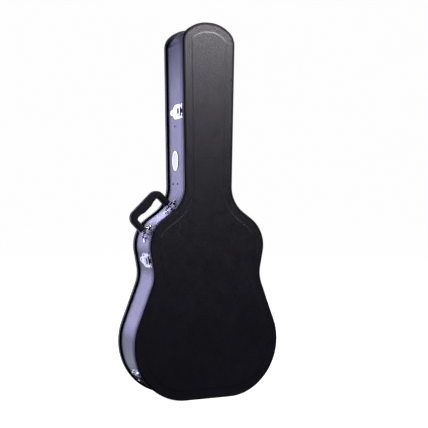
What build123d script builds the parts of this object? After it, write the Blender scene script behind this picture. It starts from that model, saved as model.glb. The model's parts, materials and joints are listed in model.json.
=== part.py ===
from build123d import *

import os
from math import acos, degrees

# Hard case for a dreadnought guitar, standing on its flattened bottom end.
# Millimetres. +Z runs up towards the headstock end, -Y towards the lid, and +X towards the
# hinges. The origin is on the floor, midway across the width and the depth.

# ---------------------------------------------------------------- driving dimensions

HEIGHT = 1090
EDGE_DEPTH = 150  # over the two edge beads
SEAM_Y = -41  # plane where the lid meets the base
SEAM_GAP = 0.8

# Corners of the right half of the outline, from the bottom up: x, z and bend radius.
# The outline is the outermost line of the edge beads.
OUTLINE_CORNERS = [
    (123, 0, 150),  # flat bottom end into the lower bout
    (258, 110, 166),  # lower bout
    (165, 355, 94),  # waist
    (190, 486, 97),  # upper bout
    (74, 570, 91),  # shoulder into the neck
    (83, 1052, 48),  # headstock corner
    (38, HEIGHT, 92),  # top end
]
LOWER_BOUT = 1
UPPER_BOUT = 3

# Layers, each given as how far it lies inside the outline.
SKIN_OUT = 5  # vinyl on the side walls
PLY_OUT = 6  # plywood side walls
PLY_IN = 12
LINING_IN = 16
SKIN = 1
SKIN_ROUND = 0.9  # where the vinyl turns in at the seam
PLY = 5  # front and back panels
BEAD = 7  # over the panel
BEAD_SIDE = 16  # over the side wall
BEAD_ROUND = 4.5
BEAD_EDGE = 1.2  # rounding of the step down to the side wall
BEAD_LIP = 2  # how far the bead laps over the panel's edge

# The field of each panel stands proud of its edge.
FIELD_INSET = 26
FIELD_RISE = 0.5
FIELD_TAPER = 84  # degrees from the way it stands out

EDGE_Y = EDGE_DEPTH / 2
PANEL_Y = EDGE_Y - BEAD_LIP  # outer face of the plywood panels
FLOOR_Y = PANEL_Y - PLY  # inner face of the plywood panels
PAD = 4  # lining on the panels
PAD_Y = FLOOR_Y - PAD

LIP_OUT = 12.7
LIP_IN = 15.5
LIP_RISE = 6
LIP_DEPTH = 14

PLATE = 1.2  # sheet metal of latches, keepers and hinge leaves
PLATE_OUT = SKIN_OUT - PLATE
WALL_CURVE = 30  # deeper than the side wall curves away under any one plate

RIVET_HEAD = 3
RIVET_HEAD_HEIGHT = 1.6
RIVET_EDGE_ROUND = 1.28
RIVET_SHANK = 1.5
RIVET_SHORT = 0.3  # how far a shank stops short of the lining

LATCHES = {"neck": 834, "waist": 402, "bout": 69}  # height of each latch on the left side

HANDLE_Y = -9
HANDLE_BRACKETS = {"upper": 557, "lower": 482}

COMPARTMENT_LOW = 624
COMPARTMENT_HIGH = 793
COMPARTMENT_TOP_Y = 13
WALL = 6
BADGE_HEIGHT = 692
BADGE_Y = 6
BADGE_HALF_WIDTH = 21
BADGE_HALF_LENGTH = 28.5
BADGE_THICKNESS = 1.4

PIN_CLEARANCE = 0.05


# ---------------------------------------------------------------- the outline and its layers


def outline(inset):
    """Face of the case's outline, moved in by inset, standing in the XZ plane."""
    right = [(x, z) for x, z, _ in OUTLINE_CORNERS]
    left = [(-x, z) for x, z in reversed(right)]
    radii = [r for _, _, r in OUTLINE_CORNERS]
    face = make_face(FilletPolyline(*right, *left, radius=radii + radii[::-1], close=True))
    if inset:
        face = offset(face, -inset)
    return Plane.XZ * face


def slab(inset, y_low, y_high):
    """Solid with the outline's shape between two depths."""
    face = Pos(0, y_low, 0) * outline(inset)
    return extrude(face, amount=y_high - y_low, dir=(0, 1, 0))


def ring(outer, inner, y_low, y_high):
    """Wall that follows the outline, between two insets and two depths."""
    return slab(outer, y_low, y_high) - slab(inner, y_low - 1, y_high + 1)


def field(side, y):
    """Raised field on a panel whose flat face is at y; side is -1 for the lid, 1 for the back."""
    shape = extrude(outline(FIELD_INSET), amount=FIELD_RISE, taper=FIELD_TAPER)
    if side > 0:
        shape = Rot(0, 0, 180) * shape
    return Pos(0, y, 0) * shape


def pressed_panel(side, y, thickness, inset):
    """Panel whose outer edge face is at side * y, with the raised field on it."""
    low, high = sorted((side * y, side * (y - thickness)))
    panel = slab(inset, low, high) + field(side, side * y)
    return panel - field(side, side * (y - thickness))


HALF_PATH = FilletPolyline(
    (0, 0),
    *[(x, z) for x, z, _ in OUTLINE_CORNERS],
    (0, HEIGHT),
    radius=[r for _, _, r in OUTLINE_CORNERS],
)


def distance_at(z):
    """Distance along the outline from its bottom centre up to height z."""
    low, high = 0.0, HALF_PATH.length
    while high - low > 0.001:
        middle = (low + high) / 2
        if (HALF_PATH @ (middle / HALF_PATH.length)).Y < z:
            low = middle
        else:
            high = middle
    return low


def rim_plane(z, y, inset=SKIN_OUT, side=-1, along=0.0):
    """Plane on the side wall: local X is depth, local Z points out of the case.

    z is the height on the outline, and along moves the plane up the outline from there.
    """
    share = (distance_at(z) + along) / HALF_PATH.length
    point = HALF_PATH @ share
    run = HALF_PATH % share
    out = Vector(side * run.Y, 0, -run.X)
    origin = Vector(side * point.X, y, point.Y) - out * inset
    return Plane(origin=origin, x_dir=(0, 1, 0), z_dir=out)


def on_wall(plane, shape, thickness=PLATE):
    """Sheet metal cut to a flat shape and bent to follow the side wall."""
    block = plane * extrude(shape, amount=WALL_CURVE, both=True)
    box = block.bounding_box()
    return block & ring(SKIN_OUT - thickness, SKIN_OUT, box.min.Y - 1, box.max.Y + 1)


def core():
    """Everything inside the side walls' outer face, to trim posts that stand on it."""
    return slab(SKIN_OUT, -EDGE_Y, EDGE_Y)


def rivet(z, y, inset=PLATE_OUT, side=-1, along=0.0):
    """Round-headed rivet through a plate and the side wall."""
    plane = rim_plane(z, y, inset, side, along)
    reach = PLY_IN - inset - RIVET_SHORT
    head = extrude(Circle(RIVET_HEAD), amount=RIVET_HEAD_HEIGHT)
    head = fillet(head.edges().sort_by(Axis.Z)[-1], RIVET_EDGE_ROUND)
    shank = Pos(0, 0, -reach) * extrude(Circle(RIVET_SHANK), amount=reach)
    return plane * (head + shank)


def together(shapes):
    """Several separate solids as one node."""
    return Compound([solid for shape in shapes for solid in shape.solids()])


def drilled(shape, fasteners):
    """The shape with room for the rivets that pass through it."""
    for fastener in fasteners:
        shape -= fastener
    return shape


def save(name, shape):
    export_step(shape, f"parts/{name}.step")


# ---------------------------------------------------------------- shells


def edge_bead(side):
    """Moulded edge that caps the corner between a panel and the side wall."""
    low, high = sorted((side * EDGE_Y, side * (EDGE_Y - BEAD_SIDE)))
    bead = ring(0, BEAD, low, high)
    panel_end, wall_end = (-1, 0) if side > 0 else (0, -1)
    for end, radius in ((panel_end, BEAD_ROUND), (wall_end, BEAD_EDGE)):
        face = bead.faces().sort_by(Axis.Y)[end]
        bead = fillet(face.outer_wire().edges(), radius)
    cut_low, cut_high = sorted((side * PANEL_Y, side * (EDGE_Y - BEAD_SIDE - 1)))
    return bead - slab(PLY_OUT, cut_low, cut_high)


def side_wall(low, high):
    return ring(PLY_OUT, PLY_IN, low, high)


def side_skin(seam_y, bead_y):
    """Vinyl on a side wall, turned in over the plywood's edge at the seam."""
    low, high = sorted((seam_y, bead_y))
    turn_low, turn_high = (low, low + SKIN) if seam_y == low else (high - SKIN, high)
    skin = ring(SKIN_OUT, PLY_OUT, low, high) + ring(PLY_OUT, PLY_IN, turn_low, turn_high)
    seam_face = skin.faces().sort_by(Axis.Y)[0 if seam_y == low else -1]
    return fillet(seam_face.outer_wire().edges(), SKIN_ROUND)


def panel_lining(side):
    """Plush over foam on the inside of a panel, filling the back of its field."""
    low, high = sorted((side * FLOOR_Y, side * PAD_Y))
    return slab(PLY_IN + 0.3, low, high) + field(side, side * FLOOR_Y)


def locating_lip():
    """Strip inside the base that the lid closes over."""
    root_y = SEAM_Y + SEAM_GAP / 2
    root = ring(PLY_IN, LIP_IN, root_y, SEAM_Y + LIP_DEPTH)
    return root + ring(LIP_OUT, LIP_IN, SEAM_Y - LIP_RISE, root_y)


# ---------------------------------------------------------------- latches

# Latch sizes are local to the latch: b is depth from the seam, t runs along the wall and n
# stands out from it.
LEVER_PIN_B = 14
LEVER_PIN_N = 5
LEVER_PIN_R = 1.2
LEVER_HALF = 8.5
LEVER_TAIL_B = 42
EAR_IN = 11.3
EAR_OUT = 12.8
EAR_TOP = 7.6
BAIL_PIN_B = 25
BAIL_PIN_R = 1.0
BAIL_IN = 9.0
BAIL_OUT = 10.6
BAIL_LOW = 6.6
BAIL_HIGH = 8.4
BAIL_END_B = -9
BAIL_BAR = 5  # width of the bar over the keeper
BAIL_EYE_R = 1.7
KEEPER_TAB_TOP = 6.1
KEEPER_TAB_B = -6
KEEPER_LOBE_B = -9
KEEPER_LOBE_T = 14
KEEPER_LOBE_R = 6.5
SPADE_B = 34  # middle of the plate's wide part
SPADE_HALF_LENGTH = 26
SPADE_HALF_WIDTH = 21
PRONG_B = 15
PRONG_T = 15
PRONG_LENGTH = 26
PRONG_WIDTH = 11
POINT_B = 62  # middle of the plate's pointed lobe
POINT_HALF_LENGTH = 17
POINT_HALF_WIDTH = 8.5
POST_ROOT = 4  # how far a post starts below the side wall, before it is trimmed to it


def latch_plane(z):
    return rim_plane(z, SEAM_Y)


def latch_rivets(z):
    spots = [(42, 14), (42, -14), (68, 0)]
    return [rivet(z, SEAM_Y + b, along=t) for b, t in spots]


def latch_plate(z):
    """Spade-shaped plate with two prongs at the seam and two ears for the lever's pin."""
    plane = latch_plane(z)
    shape = Pos(SPADE_B, 0) * Ellipse(SPADE_HALF_LENGTH, SPADE_HALF_WIDTH)
    for t in (-PRONG_T, PRONG_T):
        shape += Pos(PRONG_B, t) * RectangleRounded(PRONG_LENGTH, PRONG_WIDTH, 4)
    shape += Pos(POINT_B, 0) * Ellipse(POINT_HALF_LENGTH, POINT_HALF_WIDTH)
    shape -= Pos(6, 0) * Rectangle(16, 18)  # opening between the prongs
    plate = on_wall(plane, shape)
    ear_middle = (EAR_IN + EAR_OUT) / 2
    for t in (-ear_middle, ear_middle):
        ear = Box(11, EAR_OUT - EAR_IN, EAR_TOP + POST_ROOT)
        ear = Pos(LEVER_PIN_B, t, (EAR_TOP - POST_ROOT) / 2) * ear
        ear = fillet(ear.edges().filter_by(Axis.Y).group_by(Axis.Z)[-1], 2.2)
        plate += plane * ear - core()
    return plate - latch_pin(z)


def across(b, n, radius, half):
    """Round bar along t, in the latch's local sizes."""
    return Pos(b, 0, n) * Rot(90, 0, 0) * Cylinder(radius, 2 * half)


def latch_pin(z):
    return latch_plane(z) * across(LEVER_PIN_B, LEVER_PIN_N, LEVER_PIN_R, EAR_OUT)


def latch_lever(z):
    """Cast lever with a hub at its pin and a raised finger tab at its tail."""
    hub = Pos(LEVER_PIN_B, LEVER_PIN_N) * Circle(2.8)
    blade = make_face(
        FilletPolyline(
            (LEVER_PIN_B, 3.0),
            (33, 3.0),
            (LEVER_TAIL_B, 6.6),
            (LEVER_TAIL_B - 0.8, 9.0),
            (31, 6.8),
            (LEVER_PIN_B, 7.8),
            radius=[0, 8, 1, 1, 8, 0],
            close=True,
        )
    )
    side = Plane.XZ * (hub + blade)
    lever = extrude(side, amount=LEVER_HALF, both=True)
    lever -= across(LEVER_PIN_B, LEVER_PIN_N, LEVER_PIN_R + PIN_CLEARANCE, LEVER_HALF + 1)
    lever -= across(BAIL_PIN_B, LEVER_PIN_N, BAIL_PIN_R + PIN_CLEARANCE, LEVER_HALF + 1)
    return latch_plane(z) * lever


def latch_bail(z):
    """Loop that the lever draws tight over the keeper; its bar runs through the lever."""
    middle = (BAIL_LOW + BAIL_HIGH) / 2
    eye = Pos(BAIL_PIN_B, LEVER_PIN_N) * Circle(BAIL_EYE_R)
    neck = Rectangle(2 * BAIL_EYE_R, middle - LEVER_PIN_N)
    neck = Pos(BAIL_PIN_B, (LEVER_PIN_N + middle) / 2) * neck
    arm_end = BAIL_PIN_B + BAIL_EYE_R
    arm = Rectangle(arm_end - BAIL_END_B, BAIL_HIGH - BAIL_LOW)
    arm = Pos((arm_end + BAIL_END_B) / 2, middle) * arm
    side = Plane.XZ * (eye + neck + arm)
    thick = BAIL_OUT - BAIL_IN
    bail = Pos(0, -BAIL_IN, 0) * extrude(side, amount=thick)
    bail += Pos(0, BAIL_OUT, 0) * extrude(side, amount=thick)
    bar = Box(BAIL_BAR, 2 * BAIL_OUT, BAIL_HIGH - BAIL_LOW)
    bail += Pos(BAIL_END_B + BAIL_BAR / 2, 0, middle) * bar
    bail += across(BAIL_PIN_B, LEVER_PIN_N, BAIL_PIN_R, BAIL_OUT)
    return latch_plane(z) * bail


def keeper_rivets(z):
    spots = (-KEEPER_LOBE_T, KEEPER_LOBE_T)
    return [rivet(z, SEAM_Y + KEEPER_LOBE_B, along=t) for t in spots]


def keeper(z):
    """Two-lobed plate on the lid with a bent-up tab under the bail's bar."""
    plane = latch_plane(z)
    shape = Pos(-8, 0) * RectangleRounded(11, 30, 3)
    for t in (-KEEPER_LOBE_T, KEEPER_LOBE_T):
        shape += Pos(KEEPER_LOBE_B, t) * Circle(KEEPER_LOBE_R)
    tab = Box(1.4, 13, KEEPER_TAB_TOP + POST_ROOT)
    tab = Pos(KEEPER_TAB_B, 0, (KEEPER_TAB_TOP - POST_ROOT) / 2) * tab
    return on_wall(plane, shape) + (plane * tab - core())


# ---------------------------------------------------------------- hinges

HINGE_STANDOFF = 3.1  # from the side wall's skin to the pin's centre
KNUCKLE_R = 2.6
HINGE_PIN_R = 1.3
HINGE_HALF = 18
LID_KNUCKLE_HALF = 6
LEAF_REACH = 16
HINGE_RIVET_T = 11
HINGE_RIVET_B = 11
LEAF_GAP = 0.6  # from the seam to a leaf's edge
WEB = 2.6  # metal between a leaf and its knuckle
LOWER_HINGE_SHIFT = 8  # up the pin line from where it touches the lower bout


def bend_centre(index):
    """Centre of one of the outline's bends on the right side."""
    x, z, radius = OUTLINE_CORNERS[index]
    corner = Vector(x, z)
    before = Vector(*OUTLINE_CORNERS[index - 1][:2])
    after = Vector(*OUTLINE_CORNERS[index + 1][:2])
    back = (before - corner).normalized()
    on = (after - corner).normalized()
    half_angle = back.get_angle(on) / 2
    reach = radius / Vector(1, 0).rotate(Axis.Z, half_angle).Y
    return corner + (back + on).normalized() * reach


def hinge_planes():
    """One plane per hinge, on the line that touches both bouts, local Y along the pin."""
    low, high = bend_centre(LOWER_BOUT), bend_centre(UPPER_BOUT)
    low_r = OUTLINE_CORNERS[LOWER_BOUT][2] - SKIN_OUT + HINGE_STANDOFF
    high_r = OUTLINE_CORNERS[UPPER_BOUT][2] - SKIN_OUT + HINGE_STANDOFF
    line = high - low
    turn = degrees(acos((low_r - high_r) / line.length))
    out = line.normalized().rotate(Axis.Z, -turn)
    planes = {}
    along = line - out * line.dot(out)
    shifts = {"lower": along.normalized() * LOWER_HINGE_SHIFT, "upper": Vector(0, 0)}
    for name, centre, radius in (("lower", low, low_r), ("upper", high, high_r)):
        point = centre + out * radius + shifts[name]
        planes[name] = Plane(
            origin=(point.X, SEAM_Y, point.Y), x_dir=(0, 1, 0), z_dir=(out.X, 0, out.Y)
        )
    return planes


def pin_along(radius, low, high):
    """Round bar on a hinge plane's pin line, between two distances along it."""
    return Pos(0, (low + high) / 2, 0) * Rot(90, 0, 0) * Cylinder(radius, high - low)


def hinge_leaf(plane, side):
    """Leaf bent to the side wall; side is 1 for the base's leaf and -1 for the lid's."""
    shape = RectangleRounded(LEAF_REACH, 2 * HINGE_HALF, 3)
    shape = Pos(side * (LEAF_GAP + LEAF_REACH / 2), 0) * shape
    shape += Pos(side * (LEAF_GAP + 3), 0) * Rectangle(6, 2 * HINGE_HALF)  # square at the seam
    leaf = on_wall(plane, shape)
    if side > 0:
        spans = [(-HINGE_HALF, -LID_KNUCKLE_HALF - 0.2), (LID_KNUCKLE_HALF + 0.2, HINGE_HALF)]
        others = [(-LID_KNUCKLE_HALF - 0.5, LID_KNUCKLE_HALF + 0.5)]
        bore = HINGE_PIN_R
    else:
        spans = [(-LID_KNUCKLE_HALF, LID_KNUCKLE_HALF)]
        others = [(-HINGE_HALF - 2, -LID_KNUCKLE_HALF), (LID_KNUCKLE_HALF, HINGE_HALF + 2)]
        bore = HINGE_PIN_R + PIN_CLEARANCE
    for low, high in others:
        leaf -= plane * pin_along(KNUCKLE_R + 0.5, low, high)
    for low, high in spans:
        web = Box(WEB, high - low, 2 * HINGE_STANDOFF)
        web = Pos(side * (LEAF_GAP + WEB / 2), (low + high) / 2, -HINGE_STANDOFF) * web
        leaf += plane * web - core()
        leaf += plane * pin_along(KNUCKLE_R, low, high)
    return leaf - plane * pin_along(bore, -HINGE_HALF - 1, HINGE_HALF + 1)


def hinge_rivets(plane, side):
    """Two rivets through a leaf; the plane's height gives their place on the outline."""
    origin = plane.origin + plane.z_dir * (SKIN_OUT - HINGE_STANDOFF)
    spots = (-HINGE_RIVET_T, HINGE_RIVET_T)
    return [rivet(origin.Z, SEAM_Y + side * HINGE_RIVET_B, side=1, along=t) for t in spots]


# ---------------------------------------------------------------- handle

BAR_N = 7.3  # height of a bracket's bar above the side wall
BAR_R = 2.3
BAR_HALF = 15
FOOT_PLATE = 1.5
FOOT_T = 19
FOOT_RIVET_T = 21
FOOT_HALF_WIDTH = 6.5
FOOT_HALF_LENGTH = 8
EYE_IN = 4.0
EYE_OUT = 5.8
EYE_WIDTH = 5
GRIP_OUT = 67.5  # from the pivot line to the grip's outer face
GRIP_IN = 44.5
GRIP_SWELL = 4
GRIP_HALF_DEPTH = 11.5
GRIP_CORNER = 26
GRIP_EDGE_ROUND = 5.5
SWELL_OUTER_P = 28  # where the swelling towards the fingers starts and levels off
SWELL_INNER_P = 14
SWELL_BEND = 16
LEG_WIDTH = 19
LEG_FOOT = 7.5
STEM_R = 3.0
STEM_TOP = 24
STEM_OVERLAP = 0.8  # how far the stem runs into its eye's ring


def bracket_rivets(z):
    spots = (-FOOT_RIVET_T, FOOT_RIVET_T)
    return [rivet(z, HANDLE_Y, inset=SKIN_OUT - FOOT_PLATE, along=t) for t in spots]


def handle_bracket(z):
    """Bridge of round bar on two riveted feet."""
    plane = rim_plane(z, HANDLE_Y)
    foot = Ellipse(FOOT_HALF_WIDTH, FOOT_HALF_LENGTH)
    bracket = on_wall(plane, Pos(0, FOOT_T) * foot + Pos(0, -FOOT_T) * foot, FOOT_PLATE)
    bridge = Pos(0, 0, BAR_N) * Rot(90, 0, 0) * Cylinder(BAR_R, 2 * BAR_HALF)
    for t in (-BAR_HALF, BAR_HALF):
        bridge += Pos(0, t, (BAR_N - POST_ROOT) / 2) * Cylinder(BAR_R, BAR_N + POST_ROOT)
        bridge += Pos(0, t, BAR_N) * Sphere(BAR_R)
    return bracket + (plane * bridge - core())


def handle_plane():
    """Plane on the pivot line's middle: local X along the line, local Y out of the case."""
    ends = {}
    for name, z in HANDLE_BRACKETS.items():
        plane = rim_plane(z, HANDLE_Y)
        ends[name] = plane.origin + plane.z_dir * BAR_N
    line = ends["upper"] - ends["lower"]
    middle = (ends["upper"] + ends["lower"]) / 2
    return Plane(origin=middle, x_dir=line, z_dir=(0, -1, 0)), line.length / 2


def handle_stem(p, foot):
    """Round stem inside a leg, from a distance off the pivot line up to the stem's top."""
    return Pos(p, (foot + STEM_TOP) / 2, 0) * Rot(-90, 0, 0) * Cylinder(STEM_R, STEM_TOP - foot)


def handle_grip():
    """Moulded grip and legs in one piece, swelling towards the fingers."""
    plane, half = handle_plane()
    outer_p = half + LEG_WIDTH / 2
    inner_p = half - LEG_WIDTH / 2
    swell_in = GRIP_IN - GRIP_SWELL
    section = make_face(
        FilletPolyline(
            (-outer_p, LEG_FOOT),
            (-outer_p, GRIP_OUT),
            (outer_p, GRIP_OUT),
            (outer_p, LEG_FOOT),
            (inner_p, LEG_FOOT),
            (inner_p, GRIP_IN),
            (SWELL_OUTER_P, GRIP_IN),
            (SWELL_INNER_P, swell_in),
            (-SWELL_INNER_P, swell_in),
            (-SWELL_OUTER_P, GRIP_IN),
            (-inner_p, GRIP_IN),
            (-inner_p, LEG_FOOT),
            radius=[2, GRIP_CORNER, GRIP_CORNER, 2, 2, 6] + 4 * [SWELL_BEND] + [6, 2],
            close=True,
        )
    )
    grip = Pos(0, 0, -GRIP_HALF_DEPTH) * extrude(section, amount=2 * GRIP_HALF_DEPTH)
    faces = grip.faces().sort_by(Axis.Z)
    grip = fillet(faces[0].edges() + faces[-1].edges(), GRIP_EDGE_ROUND)
    return plane * (grip - handle_stem(-half, LEG_FOOT) - handle_stem(half, LEG_FOOT))


def handle_loop(end):
    """Steel eye round a bracket's bar, with a stem moulded into the leg."""
    plane, half = handle_plane()
    p = half if end == "upper" else -half
    eye = Rot(0, 90, 0) * (Cylinder(EYE_OUT, EYE_WIDTH) - Cylinder(EYE_IN, EYE_WIDTH + 1))
    return plane * (Pos(p, 0, 0) * eye + handle_stem(p, EYE_OUT - STEM_OVERLAP))


# ---------------------------------------------------------------- inside the neck

SHELF_LOW = 706  # the shelf's lower edge, where the small lid hinges
SMALL_LID_LOW = 636
BOARD = 5
SMALL_PIN_R = 1.5
SMALL_HUB_R = 3.2
SMALL_PIN_HALF = 54
SMALL_LID_HUB_HALF = 45.5
EAR_INNER_X = 46
BOARD_GAP = 0.4  # round a board's edges, inside the lining
LID_BOARD_GAP = 1.2
CRADLE_LENGTH = 42
TAB_WIDTH = 16
TAB_LENGTH = 22
TAB_THICKNESS = 1
NOTCH_HALF = 30
NOTCH_FLOOR_Y = 8
NECK_WALL_TOP_Y = -14


def neck_board(z_low, z_high, y_low, y_high, inset=LINING_IN + BOARD_GAP):
    """Board that fills the neck's width between two heights and two depths."""
    middle = (z_low + z_high) / 2
    box = Box(2 * EDGE_DEPTH, y_high - y_low, z_high - z_low)
    box = Pos(0, (y_low + y_high) / 2, middle) * box
    return slab(inset, y_low - 1, y_high + 1) & box


def neck_notch(z_low, z_high):
    """Round-bottomed notch that a guitar's neck lies in."""
    middle = (z_low + z_high) / 2
    length = z_high - z_low + 2
    centre_y = NOTCH_FLOOR_Y - NOTCH_HALF
    notch = Pos(0, centre_y, middle) * Cylinder(NOTCH_HALF, length)
    mouth = Pos(0, centre_y - NOTCH_HALF, middle) * Box(2 * NOTCH_HALF, 2 * NOTCH_HALF, length)
    return notch + mouth


def compartment_wall(z):
    """Wall across the neck, notched for the guitar's neck."""
    low, high = z - WALL / 2, z + WALL / 2
    wall = neck_board(low, high, NECK_WALL_TOP_Y, PAD_Y - 0.2, inset=PLY_IN)
    return wall - neck_notch(low, high)


def neck_cradle():
    """Padded block that holds the guitar's neck just above the compartment."""
    low = COMPARTMENT_HIGH + WALL / 2 + 0.3
    high = low + CRADLE_LENGTH
    block = neck_board(low, high, NECK_WALL_TOP_Y, PAD_Y - 0.2)
    return block - neck_notch(low, high)


def small_pin(radius, low, high):
    """Bar on the small lid's hinge line between two distances across the neck."""
    bar = Cylinder(radius, high - low)
    return Pos((low + high) / 2, COMPARTMENT_TOP_Y + BOARD / 2, SHELF_LOW) * Rot(0, 90, 0) * bar


def compartment_shelf():
    """Fixed half of the compartment's cover, with two ears for the small lid's pin."""
    high = COMPARTMENT_HIGH - WALL / 2 - 0.3
    low = SHELF_LOW + SMALL_HUB_R + 0.5
    shelf = neck_board(low, high, COMPARTMENT_TOP_Y, COMPARTMENT_TOP_Y + BOARD)
    ear_middle = (EAR_INNER_X + SMALL_PIN_HALF) / 2
    for side in (-1, 1):
        ear_low, ear_high = sorted((side * EAR_INNER_X, side * SMALL_PIN_HALF))
        ear = Box(ear_high - ear_low, BOARD, 2 * SMALL_HUB_R)
        ear = Pos(side * ear_middle, COMPARTMENT_TOP_Y + BOARD / 2, SHELF_LOW + SMALL_HUB_R) * ear
        shelf += ear + small_pin(SMALL_HUB_R, ear_low, ear_high)
    return shelf - small_pin(SMALL_PIN_R, -SMALL_PIN_HALF, SMALL_PIN_HALF)


def compartment_lid():
    """Hinged half of the compartment's cover."""
    board_high = COMPARTMENT_TOP_Y + BOARD
    edge = LINING_IN + LID_BOARD_GAP
    lid = neck_board(SMALL_LID_LOW, SHELF_LOW, COMPARTMENT_TOP_Y, board_high, inset=edge)
    lid += small_pin(SMALL_HUB_R, -SMALL_LID_HUB_HALF, SMALL_LID_HUB_HALF)
    for side in (-1, 1):
        ear_room = Pos(side * (SMALL_LID_HUB_HALF + 10.5), board_high - BOARD / 2, SHELF_LOW)
        lid -= ear_room * Box(21, 2 * BOARD, 9)
    return lid - small_pin(SMALL_PIN_R + PIN_CLEARANCE, -SMALL_PIN_HALF, SMALL_PIN_HALF)


def pull_tab():
    """Ribbon tab on the small lid's free edge."""
    tab = Box(TAB_WIDTH, TAB_THICKNESS, TAB_LENGTH)
    return Pos(0, COMPARTMENT_TOP_Y - TAB_THICKNESS / 2, SMALL_LID_LOW + 7) * tab


def badge():
    """Blank oval badge on the neck's side wall."""
    plane = rim_plane(BADGE_HEIGHT, BADGE_Y)
    return on_wall(plane, Ellipse(BADGE_HALF_WIDTH, BADGE_HALF_LENGTH), BADGE_THICKNESS)


# ---------------------------------------------------------------- assembly


def main():
    os.makedirs("parts", exist_ok=True)
    base_low = SEAM_Y + SEAM_GAP / 2
    lid_high = SEAM_Y - SEAM_GAP / 2
    bead_in = EDGE_Y - BEAD_SIDE

    hinges = hinge_planes()
    latch_fasteners = [r for z in LATCHES.values() for r in latch_rivets(z)]
    keeper_fasteners = [r for z in LATCHES.values() for r in keeper_rivets(z)]
    bracket_fasteners = [r for z in HANDLE_BRACKETS.values() for r in bracket_rivets(z)]
    wall_spots = [(COMPARTMENT_LOW, -4), (COMPARTMENT_LOW, 30), (COMPARTMENT_HIGH, 10)]
    wall_fasteners = [
        rivet(z, y, inset=SKIN_OUT, side=side) for side in (-1, 1) for z, y in wall_spots
    ]
    base_hinge_fasteners = [r for plane in hinges.values() for r in hinge_rivets(plane, 1)]
    lid_hinge_fasteners = [r for plane in hinges.values() for r in hinge_rivets(plane, -1)]
    base_fasteners = latch_fasteners + bracket_fasteners + wall_fasteners + base_hinge_fasteners
    lid_fasteners = keeper_fasteners + lid_hinge_fasteners

    # base shell
    save("base_rim", drilled(side_wall(base_low + SKIN, FLOOR_Y), base_fasteners))
    save("base_rim_cover", drilled(side_skin(base_low, bead_in), base_fasteners))
    save("back_panel", pressed_panel(1, PANEL_Y, PLY, PLY_OUT))
    save("back_panel_cover", pressed_panel(1, PANEL_Y + SKIN, SKIN, BEAD))
    save("back_edge_bead", edge_bead(1))
    save("base_locating_lip", locating_lip())
    wall_lining = ring(PLY_IN, LINING_IN, SEAM_Y + LIP_DEPTH, PAD_Y)
    for z in (COMPARTMENT_LOW, COMPARTMENT_HIGH):
        wall_lining -= compartment_wall(z)
    save("base_wall_lining", wall_lining)
    save("back_panel_lining", panel_lining(1))

    # lid shell
    save("lid_rim", drilled(side_wall(-FLOOR_Y, lid_high - SKIN), lid_fasteners))
    save("lid_rim_cover", drilled(side_skin(lid_high, -bead_in), lid_fasteners))
    save("lid_panel", pressed_panel(-1, PANEL_Y, PLY, PLY_OUT))
    save("lid_panel_cover", pressed_panel(-1, PANEL_Y + SKIN, SKIN, BEAD))
    save("front_edge_bead", edge_bead(-1))
    save("lid_wall_lining", ring(PLY_IN, LINING_IN, -PAD_Y, SEAM_Y - LIP_RISE - 1))
    save("lid_panel_lining", panel_lining(-1))

    # latches
    for name, z in LATCHES.items():
        save(f"latch_plate_{name}", drilled(latch_plate(z), latch_rivets(z)))
        save(f"latch_lever_{name}", latch_lever(z))
        save(f"latch_bail_{name}", latch_bail(z))
        save(f"keeper_{name}", drilled(keeper(z), keeper_rivets(z)))
    save("latch_pins", together([latch_pin(z) for z in LATCHES.values()]))
    save("latch_rivets", together(latch_fasteners))
    save("keeper_rivets", together(keeper_fasteners))

    # hinges
    for name, plane in hinges.items():
        save(f"hinge_base_leaf_{name}", drilled(hinge_leaf(plane, 1), hinge_rivets(plane, 1)))
        save(f"hinge_lid_leaf_{name}", drilled(hinge_leaf(plane, -1), hinge_rivets(plane, -1)))
    pins = [plane * pin_along(HINGE_PIN_R, -HINGE_HALF, HINGE_HALF) for plane in hinges.values()]
    save("hinge_pins", together(pins))
    save("hinge_base_rivets", together(base_hinge_fasteners))
    save("hinge_lid_rivets", together(lid_hinge_fasteners))

    # handle
    for name, z in HANDLE_BRACKETS.items():
        save(f"handle_bracket_{name}", drilled(handle_bracket(z), bracket_rivets(z)))
        save(f"handle_loop_{name}", handle_loop(name))
    save("handle_bracket_rivets", together(bracket_fasteners))
    save("handle_grip", handle_grip())

    # inside and trim
    save("compartment_lower_wall", compartment_wall(COMPARTMENT_LOW))
    save("compartment_upper_wall", compartment_wall(COMPARTMENT_HIGH))
    save("compartment_shelf", compartment_shelf())
    save("compartment_lid", compartment_lid())
    save("compartment_pin", small_pin(SMALL_PIN_R, -SMALL_PIN_HALF, SMALL_PIN_HALF))
    save("compartment_pull_tab", pull_tab())
    save("neck_cradle", neck_cradle())
    save("side_badge", badge())
    save("wall_rivets", together(wall_fasteners))


def print_joint_lines():
    """A point on each joint's line and the line's direction, for the motion record."""
    for name, plane in hinge_planes().items():
        print("lid hinge", name, plane.origin, plane.y_dir)
    plane, half = handle_plane()
    print("handle", plane.origin, plane.x_dir, half)
    for name, z in LATCHES.items():
        plane = latch_plane(z)
        lever = plane.from_local_coords(Vector(LEVER_PIN_B, 0, LEVER_PIN_N))
        bail = plane.from_local_coords(Vector(BAIL_PIN_B, 0, LEVER_PIN_N))
        print("latch", name, lever, bail, plane.y_dir)


main()
print_joint_lines()
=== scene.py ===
import json
import math

import bmesh
import bpy
import numpy as np
from mathutils import Matrix, Vector, noise


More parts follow.
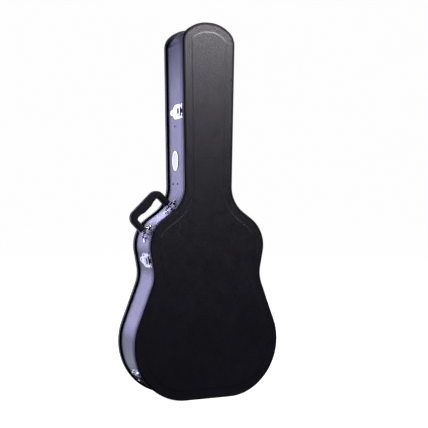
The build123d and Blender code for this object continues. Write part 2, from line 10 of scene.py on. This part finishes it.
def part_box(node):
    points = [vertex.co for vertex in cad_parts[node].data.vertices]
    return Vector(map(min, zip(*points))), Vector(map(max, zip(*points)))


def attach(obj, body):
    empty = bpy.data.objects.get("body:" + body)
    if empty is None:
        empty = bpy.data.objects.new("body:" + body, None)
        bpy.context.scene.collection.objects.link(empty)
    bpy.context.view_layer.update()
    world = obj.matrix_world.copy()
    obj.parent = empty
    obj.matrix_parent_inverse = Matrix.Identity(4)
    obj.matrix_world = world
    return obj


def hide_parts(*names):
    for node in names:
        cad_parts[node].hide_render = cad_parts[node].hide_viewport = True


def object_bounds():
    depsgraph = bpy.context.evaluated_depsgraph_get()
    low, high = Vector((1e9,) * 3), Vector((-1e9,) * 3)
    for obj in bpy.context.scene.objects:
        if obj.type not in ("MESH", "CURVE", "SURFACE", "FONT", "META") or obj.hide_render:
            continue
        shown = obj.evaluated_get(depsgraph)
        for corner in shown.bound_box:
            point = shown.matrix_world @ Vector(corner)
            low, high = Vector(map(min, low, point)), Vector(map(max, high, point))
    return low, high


# Looks of the guitar case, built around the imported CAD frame. Metres, +Z up, -Y towards the lid.

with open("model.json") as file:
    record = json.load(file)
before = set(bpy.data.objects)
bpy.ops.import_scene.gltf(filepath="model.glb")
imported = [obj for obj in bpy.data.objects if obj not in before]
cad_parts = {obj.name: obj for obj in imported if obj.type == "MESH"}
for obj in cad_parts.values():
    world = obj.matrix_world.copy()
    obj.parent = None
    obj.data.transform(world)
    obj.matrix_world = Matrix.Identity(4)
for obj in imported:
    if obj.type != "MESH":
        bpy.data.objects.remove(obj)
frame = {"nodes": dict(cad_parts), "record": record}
cad_low, cad_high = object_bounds()
NODES = frame["nodes"]
SCENE = bpy.context.scene


# ---------------------------------------------------------------- node material helpers


class Surface:
    """A node material with one Principled shader and short calls for the nodes that feed it."""

    def __init__(self, name, **constants):
        self.material = bpy.data.materials.new(name)
        self.material.use_nodes = True
        self.tree = self.material.node_tree
        self.shader = self.tree.nodes["Principled BSDF"]
        for socket, value in constants.items():
            self.shader.inputs[socket.replace("_", " ")].default_value = value
        self.place = self.add("ShaderNodeTexCoord").outputs["Object"]

    def add(self, kind, **settings):
        node = self.tree.nodes.new(kind)
        for key, value in settings.items():
            setattr(node, key, value)
        return node

    def join(self, source, target):
        """Feeds a socket from another socket, or sets it to a plain value."""
        if isinstance(source, bpy.types.NodeSocket):
            self.tree.links.new(source, target)
        else:
            target.default_value = source

    def noise(self, scale, detail=4.0, roughness=0.55, place=None, stretch=None):
        """Cloudy noise from 0 to 1."""
        node = self.add("ShaderNodeTexNoise")
        node.inputs["Scale"].default_value = scale
        node.inputs["Detail"].default_value = detail
        node.inputs["Roughness"].default_value = roughness
        place = place or self.place
        if stretch:
            mapping = self.add("ShaderNodeMapping")
            mapping.inputs["Scale"].default_value = stretch
            self.join(place, mapping.inputs["Vector"])
            place = mapping.outputs["Vector"]
        self.join(place, node.inputs["Vector"])
        return node.outputs["Fac"]

    def cells(self, scale, feature="F1", place=None):
        """Distance to the nearest of many scattered points."""
        node = self.add("ShaderNodeTexVoronoi", feature=feature)
        node.inputs["Scale"].default_value = scale
        self.join(place or self.place, node.inputs["Vector"])
        return node.outputs["Distance"]

    def math(self, operation, a, b=0.0):
        """One arithmetic step on sockets or plain numbers."""
        node = self.add("ShaderNodeMath", operation=operation)
        self.join(a, node.inputs[0])
        self.join(b, node.inputs[1])
        return node.outputs[0]

    def spread(self, value, low, high, to_low=0.0, to_high=1.0):
        """Maps a range of a value onto another range, with its ends held."""
        node = self.add("ShaderNodeMapRange", interpolation_type="SMOOTHSTEP")
        self.join(value, node.inputs["Value"])
        self.join(low, node.inputs["From Min"])
        self.join(high, node.inputs["From Max"])
        self.join(to_low, node.inputs["To Min"])
        self.join(to_high, node.inputs["To Max"])
        return node.outputs["Result"]

    def blend(self, share, low, high):
        """Mixes two colours by a share from 0 to 1."""
        node = self.add("ShaderNodeMix", data_type="RGBA")
        self.join(share, node.inputs["Factor"])
        self.join(low, node.inputs["A"])
        self.join(high, node.inputs["B"])
        return node.outputs["Result"]

    def axis(self, index):
        """One coordinate of the place in the object's own frame."""
        node = self.add("ShaderNodeSeparateXYZ")
        self.join(self.place, node.inputs["Vector"])
        return node.outputs[index]

    def colour(self, value):
        self.join(value, self.shader.inputs["Base Color"])

    def roughness(self, value):
        self.join(value, self.shader.inputs["Roughness"])

    def bump(self, *layers):
        """Stacks height layers, each (height, depth in metres, strength)."""
        below = None
        for height, depth, strength in layers:
            node = self.add("ShaderNodeBump")
            node.inputs["Distance"].default_value = depth
            node.inputs["Strength"].default_value = strength
            self.join(height, node.inputs["Height"])
            if below:
                self.join(below, node.inputs["Normal"])
            below = node.outputs["Normal"]
        self.join(below, self.shader.inputs["Normal"])


def rgb(red, green, blue):
    return (red, green, blue, 1.0)


# ---------------------------------------------------------------- materials


def make_vinyl():
    """Embossed vinyl cloth: pebbled grain, finer creases in it, and light scuffing."""
    look = Surface("case_vinyl", Specular_IOR_Level=0.5, Coat_Weight=0.08, Coat_Roughness=0.3)
    warp = look.noise(420, detail=2)
    pebbles = look.cells(620, feature="SMOOTH_F1")
    creases = look.cells(1500, feature="F1")
    pores = look.noise(2600, detail=2)
    grain = look.math("ADD", pebbles, look.math("MULTIPLY", warp, 0.5))
    patches = look.noise(7, detail=3)
    tops = look.spread(grain, 0.35, 0.95, 1.0, 0.0)
    pale_share = look.math("MULTIPLY", tops, look.spread(patches, 0.3, 0.7, 0.4, 1.0))
    base = look.blend(pale_share, rgb(0.003, 0.0025, 0.0055), rgb(0.009, 0.008, 0.015))
    scuffs = look.spread(look.noise(26, detail=8, roughness=0.75, stretch=(1, 1, 0.35)), 0.66, 0.8)
    look.colour(look.blend(look.math("MULTIPLY", scuffs, 0.25), base, rgb(0.09, 0.09, 0.1)))
    worn = look.spread(look.noise(35, detail=2), 0.2, 0.8, 0.33, 0.38)
    cloth = look.noise(230, detail=2, stretch=(1, 1, 1.6))
    rubbed_tops = look.math("MULTIPLY", tops, -0.06)
    polish = look.math("ADD", rubbed_tops, look.spread(cloth, 0.25, 0.75, -0.03, 0.06))
    look.roughness(look.math("ADD", worn, polish))
    look.bump(
        (cloth, 0.0006, 0.4),
        (grain, 0.00035, 0.55),
        (creases, 0.0001, 0.3),
        (pores, 0.00005, 0.25),
    )
    return look.material


def make_bead():
    """Extruded plastic edging: satin, with draw lines and a faint orange peel."""
    look = Surface("bead_plastic", Specular_IOR_Level=0.18)
    peel = look.noise(900, detail=2)
    smudges = look.noise(14, detail=5)
    lines = look.noise(1400, detail=1, stretch=(0.02, 1, 0.02))
    handled = look.spread(smudges, 0.35, 0.7)
    look.colour(look.blend(handled, rgb(0.006, 0.006, 0.009), rgb(0.014, 0.014, 0.018)))
    look.roughness(look.spread(smudges, 0.3, 0.7, 0.42, 0.52))
    look.bump((peel, 0.00012, 0.35), (lines, 0.00005, 0.3))
    return look.material


def make_chrome():
    """Polished plating with faint rolling marks, fingerprints and pinhole pitting."""
    look = Surface("chrome_plate", Metallic=1.0)
    smudges = look.noise(160, detail=6, roughness=0.7)
    pits = look.spread(look.cells(900), 0.0, 0.04, 0.0, 1.0)
    ripple = look.noise(130, detail=2)
    clean = look.blend(look.spread(smudges, 0.4, 0.75), rgb(0.78, 0.78, 0.79), rgb(0.62, 0.62, 0.64))
    look.colour(look.blend(pits, rgb(0.5, 0.49, 0.48), clean))
    look.roughness(look.spread(smudges, 0.35, 0.75, 0.2, 0.34))
    look.bump((ripple, 0.0002, 0.06), (pits, 0.00001, 0.15))
    return look.material


def make_steel():
    """Plain drawn steel of pins and rivets."""
    look = Surface("drawn_steel", Metallic=1.0)
    lines = look.noise(2400, detail=2, stretch=(1, 1, 0.05))
    tarnish = look.noise(210, detail=5)
    look.colour(look.blend(look.spread(tarnish, 0.35, 0.7), rgb(0.62, 0.62, 0.64), rgb(0.4, 0.39, 0.38)))
    look.roughness(look.spread(lines, 0.3, 0.7, 0.2, 0.4))
    look.bump((lines, 0.00005, 0.3))
    return look.material


def make_black_metal():
    """Blackened rivet heads, rubbed bright at the crown."""
    look = Surface("black_metal", Specular_IOR_Level=0.5, Coat_Weight=0.3, Coat_Roughness=0.2)
    wear = look.noise(700, detail=5)
    crowns = look.spread(wear, 0.58, 0.75)
    look.colour(look.blend(crowns, rgb(0.012, 0.012, 0.02), rgb(0.16, 0.16, 0.18)))
    look.roughness(look.spread(wear, 0.3, 0.8, 0.22, 0.5))
    look.bump((wear, 0.00006, 0.4))
    return look.material


def make_handle_plastic():
    """Moulded grip: cross-hatched stipple that holds the hand, and dull rubbed patches."""
    look = Surface("handle_moulding", Specular_IOR_Level=0.14)
    x, z = look.axis(0), look.axis(2)
    along = look.math("ADD", x, z)
    over = look.math("SUBTRACT", x, z)
    depth = look.axis(1)
    rows = [look.math("SINE", look.math("MULTIPLY", way, 2400.0)) for way in (along, over, depth)]
    hatch = look.math("MULTIPLY", look.math("MULTIPLY", rows[0], rows[1]), rows[2])
    hatch = look.spread(hatch, -0.4, 0.6)
    rubbed = look.noise(60, detail=6)
    pale_share = look.math("MULTIPLY", hatch, look.spread(rubbed, 0.3, 0.7, 0.5, 1.0))
    look.colour(look.blend(pale_share, rgb(0.005, 0.005, 0.008), rgb(0.018, 0.017, 0.025)))
    look.roughness(look.spread(rubbed, 0.3, 0.7, 0.5, 0.64))
    look.bump((hatch, 0.0003, 0.5), (look.noise(1800, detail=2), 0.00008, 0.3))
    return look.material


def make_badge():
    """Enamel oval inside a plated border. It carries no lettering, only plain rings."""
    look = Surface("badge_enamel", Coat_Weight=0.6, Coat_Roughness=0.08)
    low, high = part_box("side_badge")
    middle, half = (low + high) / 2, (high - low) / 2
    across = look.math("DIVIDE", look.math("SUBTRACT", look.axis(1), middle.y), half.y)
    up = look.math("DIVIDE", look.math("SUBTRACT", look.axis(2), middle.z), half.z)
    squares = [look.math("MULTIPLY", part, part) for part in (across, up)]
    reach = look.math("SQRT", look.math("ADD", *squares))
    cloud = look.noise(320, detail=4)
    enamel = look.blend(cloud, rgb(0.76, 0.73, 0.75), rgb(0.84, 0.81, 0.83))
    tint = look.spread(reach, 0.1, 0.55, 0.35, 0.0)
    enamel = look.blend(tint, enamel, rgb(0.74, 0.55, 0.56))
    outside = look.spread(reach, 0.66, 0.69)
    inside = look.spread(reach, 0.71, 0.74, 1.0, 0.0)
    line = look.math("MULTIPLY", outside, inside)
    enamel = look.blend(look.math("MULTIPLY", line, 0.5), enamel, rgb(0.45, 0.4, 0.45))
    rim = look.spread(reach, 0.86, 0.9)
    look.colour(look.blend(rim, enamel, rgb(0.8, 0.8, 0.84)))
    look.join(rim, look.shader.inputs["Metallic"])
    look.roughness(look.spread(cloud, 0.3, 0.7, 0.14, 0.26))
    look.bump((look.math("ADD", rim, line), 0.0004, 0.6), (cloud, 0.00005, 0.2))
    return look.material


def make_plush():
    """Short cut pile: fine fibre noise, brushed patches and a soft sheen."""
    look = Surface("plush_pile", Specular_IOR_Level=0.15, Sheen_Weight=0.6, Sheen_Roughness=0.4)
    fibres = look.noise(3200, detail=3, roughness=0.7)
    tufts = look.noise(700, detail=4, stretch=(1, 1, 0.55))
    nap = look.noise(16, detail=4, roughness=0.6)
    base = look.blend(look.spread(nap, 0.35, 0.65), rgb(0.014, 0.014, 0.018), rgb(0.036, 0.036, 0.044))
    base = look.blend(look.spread(tufts, 0.35, 0.7), base, rgb(0.055, 0.055, 0.066))
    tips = look.math("MULTIPLY", look.spread(fibres, 0.55, 0.8), 0.4)
    look.colour(look.blend(tips, base, rgb(0.12, 0.12, 0.14)))
    look.roughness(look.spread(nap, 0.3, 0.7, 0.82, 0.98))
    look.bump((tufts, 0.0012, 0.6), (fibres, 0.0004, 0.6))
    return look.material


def make_ribbon():
    """Woven ribbon: ribs across its width and fine threads along it."""
    look = Surface("ribbon_weave", Sheen_Weight=0.3, Sheen_Roughness=0.3)
    ribs = look.math("SINE", look.math("MULTIPLY", look.axis(2), 7000.0))
    threads = look.math("SINE", look.math("MULTIPLY", look.axis(0), 11000.0))
    weave = look.spread(look.math("ADD", ribs, threads), -1.4, 1.4)
    fade = look.noise(90, detail=4)
    pale = look.blend(look.spread(fade, 0.3, 0.7), rgb(0.05, 0.05, 0.062), rgb(0.085, 0.085, 0.1))
    look.colour(look.blend(weave, rgb(0.012, 0.012, 0.016), pale))
    look.roughness(look.spread(fade, 0.3, 0.7, 0.6, 0.8))
    look.bump((weave, 0.0002, 0.7))
    return look.material


def make_plywood():
    """Birch plywood, seen at the shells' open edges: thin plies and long grain."""
    look = Surface("plywood_edge", Specular_IOR_Level=0.3)
    grain = look.noise(90, detail=6, stretch=(1.6, 1.6, 0.12))
    across = look.math("ADD", look.axis(0), look.axis(2))
    plies = look.math("SINE", look.math("MULTIPLY", across, 4200.0))
    base = look.blend(look.spread(grain, 0.3, 0.7), rgb(0.42, 0.27, 0.14), rgb(0.62, 0.45, 0.27))
    dark_plies = look.math("MULTIPLY", look.spread(plies, 0.0, 1.0), 0.45)
    look.colour(look.blend(dark_plies, base, rgb(0.28, 0.17, 0.08)))
    look.roughness(look.spread(grain, 0.3, 0.7, 0.55, 0.8))
    look.bump((grain, 0.0003, 0.5))
    return look.material


MATERIALS = {
    "vinyl": make_vinyl(),
    "edge_bead": make_bead(),
    "chrome": make_chrome(),
    "steel": make_steel(),
    "black_metal": make_black_metal(),
    "handle_plastic": make_handle_plastic(),
    "badge": make_badge(),
    "plush": make_plush(),
    "plush_board": make_plush(),
    "ribbon": make_ribbon(),
    "plywood": make_plywood(),
}


def dress(obj, material):
    obj.data.materials.clear()
    obj.data.materials.append(material)


def dress_frame():
    """Gives every CAD node the material of its slot in the record."""
    for row in frame["record"]["subparts"]:
        dress(NODES[row["node"]], MATERIALS[row["material_slot"]])


# ---------------------------------------------------------------- mesh helpers


def shade_smooth(mesh):
    for polygon in mesh.polygons:
        polygon.use_smooth = True


def add_object(name, mesh, body, slot):
    """New piece that rides on a body, in the material of a record slot."""
    obj = bpy.data.objects.new(name, mesh)
    SCENE.collection.objects.link(obj)
    dress(obj, MATERIALS[slot])
    shade_smooth(mesh)
    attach(obj, body)
    return obj


def applied(source, *modifiers):
    """Mesh of an object's copy after some modifiers, each (kind, settings)."""
    scratch = bpy.data.objects.new("scratch", source.copy())
    SCENE.collection.objects.link(scratch)
    for kind, settings in modifiers:
        modifier = scratch.modifiers.new(kind.lower(), kind)
        for key, value in settings.items():
            setattr(modifier, key, value)
    graph = bpy.context.evaluated_depsgraph_get()
    mesh = bpy.data.meshes.new_from_object(scratch.evaluated_get(graph))
    bpy.data.objects.remove(scratch)
    return mesh


def points_of(mesh):
    points = np.empty(len(mesh.vertices) * 3)
    mesh.vertices.foreach_get("co", points)
    return points.reshape(-1, 3)


def put_points(mesh, points):
    mesh.vertices.foreach_set("co", points.ravel())
    mesh.update()


def clouds(points, size, seed):
    """Smooth noise from -1 to 1 at each point, with bumps of about that size."""
    shift = Vector((seed * 7.3, seed * 3.1, seed * 5.7))
    return np.array([noise.noise(Vector(p) / size + shift) for p in points])


# ---------------------------------------------------------------- soft linings

LINING_VOXEL = 0.0024
LINING_SWELL = 0.0006  # most that a lining's face crowns towards its panel
LINING_WAVE = 0.06  # width of the swells
SOFT_DEPTH = 0.003  # how deep below the face the swells fade out

WALL_VOXEL = 0.0016
WALL_SINK = 0.00025  # most that the wall strip sinks is twice this
WALL_WAVE = 0.045

CRADLE_VOXEL = 0.004
CRADLE_SHRINK = np.array([0.97, 0.96, 0.93])  # room for the cloth to swell into
CRADLE_PRESSURE = 0.25
CRADLE_CAP = 0.002
CRADLE_CREASE = 0.0003
CRADLE_WAVE = 0.02
CLOTH_STEPS = 20


def lining(node, body, name, seed):
    """Plush over foam: the CAD pad with softened edges and a slightly uneven, crowned face."""
    mesh = applied(
        NODES[node].data,
        ("REMESH", {"mode": "VOXEL", "voxel_size": LINING_VOXEL}),
        ("SMOOTH", {"factor": 0.5, "iterations": 4}),
    )
    points = points_of(mesh)
    wave = clouds(points, LINING_WAVE, seed)
    low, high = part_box(node)
    inner_y, outward = (low.y, 1.0) if low.y > 0 else (high.y, -1.0)
    near_face = np.clip(1 - np.abs(points[:, 1] - inner_y) / SOFT_DEPTH, 0, 1)
    points[:, 1] += outward * near_face * LINING_SWELL * (0.5 + 0.5 * wave)
    put_points(mesh, points)
    pad = add_object(name, mesh, body, "plush")
    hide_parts(node)
    return pad


def wall_lining(node, body, name, seed):
    """Plush strip round the inside of a side wall, softened at its edges and seams."""
    mesh = applied(
        NODES[node].data,
        ("REMESH", {"mode": "VOXEL", "voxel_size": WALL_VOXEL}),
        ("SMOOTH", {"factor": 0.5, "iterations": 3}),
    )
    points = points_of(mesh)
    normals = np.empty(len(mesh.vertices) * 3)
    mesh.vertices.foreach_get("normal", normals)
    wave = clouds(points, WALL_WAVE, seed)
    points += normals.reshape(-1, 3) * (WALL_SINK * (wave - 1))[:, None]
    put_points(mesh, points)
    pad = add_object(name, mesh, body, "plush")
    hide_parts(node)
    return pad


def inflate(obj, cap):
    """Lets cloth pressure round a closed form, then holds every point within cap of its start."""
    before = points_of(obj.data)
    cloth = obj.modifiers.new("cloth", "CLOTH")
    cloth.settings.quality = 5
    cloth.settings.mass = 0.3
    cloth.settings.use_pressure = True
    cloth.settings.uniform_pressure_force = CRADLE_PRESSURE
    cloth.settings.effector_weights.gravity = 0.0
    cloth.point_cache.frame_start = 1
    cloth.point_cache.frame_end = CLOTH_STEPS
    for step in range(1, CLOTH_STEPS + 1):
        SCENE.frame_set(step)
    graph = bpy.context.evaluated_depsgraph_get()
    after = points_of(obj.evaluated_get(graph).data)
    obj.modifiers.remove(cloth)
    SCENE.frame_set(1)
    move = after - before
    length = np.linalg.norm(move, axis=1, keepdims=True)
    put_points(obj.data, before + move * np.minimum(1.0, cap / np.maximum(length, 1e-9)))


def neck_cradle():
    """Stuffed plush block that a guitar's neck lies in."""
    low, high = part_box("neck_cradle")
    middle = (low + high) / 2
    mesh = applied(
        NODES["neck_cradle"].data,
        ("REMESH", {"mode": "VOXEL", "voxel_size": CRADLE_VOXEL}),
        ("SMOOTH", {"factor": 0.5, "iterations": 6}),
    )
    points = points_of(mesh)
    points = np.array(middle) + (points - np.array(middle)) * CRADLE_SHRINK
    put_points(mesh, points)
    pad = add_object("neck_cradle_pad", mesh, "base", "plush")
    inflate(pad, CRADLE_CAP)
    smooth = applied(pad.data, ("SUBSURF", {"levels": 1}))
    points = points_of(smooth)
    points += clouds(points, CRADLE_WAVE, 11)[:, None] * CRADLE_CREASE
    put_points(smooth, np.clip(points, np.array(low), np.array(high)))
    pad.data = smooth
    shade_smooth(smooth)
    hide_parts("neck_cradle")


# ---------------------------------------------------------------- pull tab

TAB_ROWS = 24
TAB_COLUMNS = 12
TAB_THICK = 0.0005
TAB_ROUND_FROM = 0.75  # share of the length where the free end starts to round


def pull_tab():
    """Flat ribbon with a rounded free end that lifts slightly off the small lid."""
    low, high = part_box("compartment_pull_tab")
    width = high.x - low.x
    length = high.z - low.z
    bm = bmesh.new()
    grid = []
    for row in range(TAB_ROWS + 1):
        share = row / TAB_ROWS
        z = high.z - share * length
        past = max(0.0, share - TAB_ROUND_FROM) / (1 - TAB_ROUND_FROM)
        rounding = math.sqrt(max(0.15, 1 - past**2 * 0.75))
        lift = 0.0004 + 0.0003 * math.sin(share * math.pi * 2.2)
        line = []
        for column in range(TAB_COLUMNS + 1):
            x = (column / TAB_COLUMNS - 0.5) * width * rounding
            line.append(bm.verts.new((x, high.y - lift, z)))
        grid.append(line)
    for row in range(TAB_ROWS):
        for column in range(TAB_COLUMNS):
            near, far = grid[row], grid[row + 1]
            bm.faces.new([near[column], near[column + 1], far[column + 1], far[column]])
    mesh = bpy.data.meshes.new("pull_tab_ribbon")
    bm.to_mesh(mesh)
    bm.free()
    solid = applied(mesh, ("SOLIDIFY", {"thickness": TAB_THICK, "offset": 0.0}))
    tab = add_object("pull_tab_ribbon", solid, "compartment_lid", "ribbon")
    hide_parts("compartment_pull_tab")


def build_soft_pieces():
    lining("back_panel_lining", "base", "back_pad", 1)
    lining("lid_panel_lining", "lid", "lid_pad", 2)
    wall_lining("base_wall_lining", "base", "base_side_pad", 3)
    wall_lining("lid_wall_lining", "lid", "lid_side_pad", 4)
    neck_cradle()
    pull_tab()


# ---------------------------------------------------------------- floor, light and camera


def add_floor():
    bpy.ops.mesh.primitive_plane_add(size=40, location=(0, 0, cad_low.z))
    floor = bpy.context.object
    floor.name = "floor"
    look = Surface("pale_floor", Specular_IOR_Level=0.1)
    look.colour(look.blend(look.noise(3, detail=2), rgb(0.5, 0.5, 0.51), rgb(0.53, 0.53, 0.54)))
    look.roughness(0.8)
    look.shader.inputs["Emission Color"].default_value = rgb(1, 1, 1)
    look.shader.inputs["Emission Strength"].default_value = 0.97
    dress(floor, look.material)
    floor.visible_glossy = False
    floor.visible_diffuse = False


def add_light(name, place, target, size, power, colour):
    """Rectangular soft light at a place, aimed at a target."""
    data = bpy.data.lights.new(name, "AREA")
    data.shape = "RECTANGLE"
    data.size, data.size_y = size
    data.energy = power
    data.color = colour
    light = bpy.data.objects.new(name, data)
    SCENE.collection.objects.link(light)
    light.location = place
    light.rotation_euler = (Vector(target) - Vector(place)).to_track_quat("-Z", "Y").to_euler()
    light.visible_camera = False
    return light


def add_lights():
    lilac = (0.6, 0.58, 0.97)
    add_light("left_kicker", (-1.25, 2.5, 0.72), (-0.15, 0, 0.5), (2.3, 1.3), 43, lilac)
    add_light("shoulder_kicker", (0.1, 2.4, 1.55), (-0.15, 0, 0.55), (1.0, 0.7), 16, lilac)
    add_light("floor_bounce", (-0.7, 1.15, 0.02), (-0.7, 1.15, 2.0), (1.8, 2.0), 20, (0.68, 0.7, 1.0))
    add_light("right_kicker", (1.7, 2.4, 0.85), (0.15, 0, 0.5), (1.2, 1.4), 25, (0.72, 0.75, 1.0))
    add_light("front_top", (1.25, -2.3, 2.3), (0, 0, 1.1), (1.7, 0.8), 103, (0.97, 0.94, 1.0))
    add_light("overhead", (0, 0.3, 3.2), (0, 0, 0.4), (3.0, 3.0), 10, (1, 1, 1))
    add_light("left_fill", (-3.2, -0.2, 1.1), (0, 0, 0.6), (0.9, 2.4), 14, (1, 1, 1))
    add_light("right_fill", (3.2, 0, 1.1), (0, 0, 0.6), (0.9, 2.4), 14, (1, 1, 1))


def set_world():
    """White to look at, and a dim even fill as light."""
    world = bpy.data.worlds.new("studio")
    SCENE.world = world
    world.use_nodes = True
    nodes, links = world.node_tree.nodes, world.node_tree.links
    nodes["Background"].inputs["Color"].default_value = rgb(0.88, 0.84, 1.0)
    nodes["Background"].inputs["Strength"].default_value = 0.035
    white = nodes.new("ShaderNodeBackground")
    white.inputs["Color"].default_value = rgb(0.985, 0.985, 0.985)
    path = nodes.new("ShaderNodeLightPath")
    mix = nodes.new("ShaderNodeMixShader")
    links.new(path.outputs["Is Camera Ray"], mix.inputs["Fac"])
    links.new(nodes["Background"].outputs[0], mix.inputs[1])
    links.new(white.outputs[0], mix.inputs[2])
    links.new(mix.outputs[0], nodes["World Output"].inputs["Surface"])
    SCENE.view_settings.view_transform = "Standard"


CAMERA_PLACE = Vector((-1.0583, -2.391, 0.5554))
CAMERA_FORWARD = Vector((0.4208, 0.9071, -0.0076))
CAMERA_ROLL = math.radians(0.147)
CAMERA_LENS = 73.98


def add_camera():
    data = bpy.data.cameras.new("camera")
    data.lens = CAMERA_LENS
    data.sensor_width = 36
    camera = bpy.data.objects.new("camera", data)
    SCENE.collection.objects.link(camera)
    turn = CAMERA_FORWARD.to_track_quat("-Z", "Y").to_matrix().to_4x4()
    camera.matrix_world = Matrix.Translation(CAMERA_PLACE) @ turn @ Matrix.Rotation(CAMERA_ROLL, 4, "Z")
    SCENE.camera = camera


dress_frame()
build_soft_pieces()
add_floor()
add_lights()
set_world()
add_camera()
